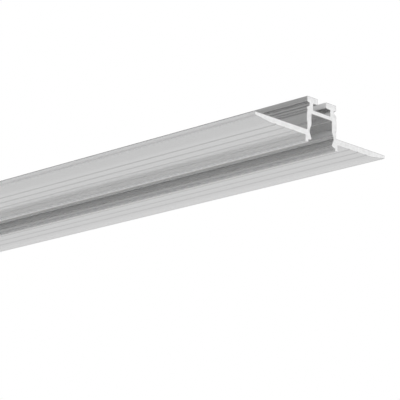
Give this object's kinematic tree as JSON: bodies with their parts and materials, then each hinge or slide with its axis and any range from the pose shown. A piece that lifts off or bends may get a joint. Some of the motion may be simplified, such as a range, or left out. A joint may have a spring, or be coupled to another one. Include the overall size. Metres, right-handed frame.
{
  "type": "led strip aluminium profile",
  "caption": "Plaster-in aluminium extrusion for an LED strip: channel open downwards between snap noses, wide thin flanges with keying grooves, and T-shaped hanger heads on top",
  "frame": {"origin": "Middle of the length and of the width, level with the undersides of the two plaster lips, which are the lowest points", "axes": "+Y along the extrusion, +Z towards the ceiling board so that the channel opens towards -Z, +X across the section"},
  "size_m": [0.0528, 1, 0.0128],
  "materials": {
    "aluminium": "satin, as extruded, with fine die lines along the length; sawn ends are duller and paler"
  },
  "bodies": {
    "root": {"profile": "aluminium"}
  },
  "joints": []
}
